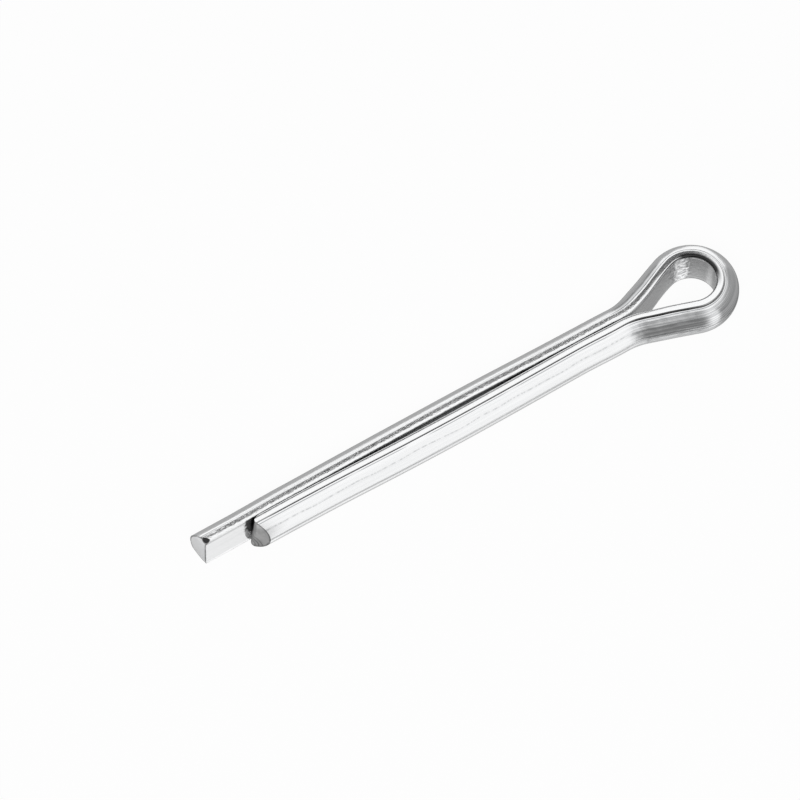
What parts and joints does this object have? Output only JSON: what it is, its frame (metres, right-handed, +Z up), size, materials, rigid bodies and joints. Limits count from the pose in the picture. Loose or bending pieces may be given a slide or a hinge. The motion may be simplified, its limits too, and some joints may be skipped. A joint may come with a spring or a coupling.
{
  "type": "split cotter pin",
  "caption": "Split cotter pin of half-round steel wire, folded into a teardrop eye and close parallel legs of unequal length, for locking a castle nut or clevis pin through a cross hole.",
  "frame": {"origin": "on the shank's axis, where the legs leave the neck of the eye", "axes": "+X along the shank from the neck towards the tips, +Y towards the short leg, +Z up, square to the eye's plane"},
  "size_m": [0.0633, 0.0096, 0.0046],
  "materials": {
    "plated_wire": "bright zinc-plated drawn steel wire, with fine draw lines along the wire"
  },
  "bodies": {
    "root": {"cotter_pin": "plated_wire"}
  },
  "joints": []
}
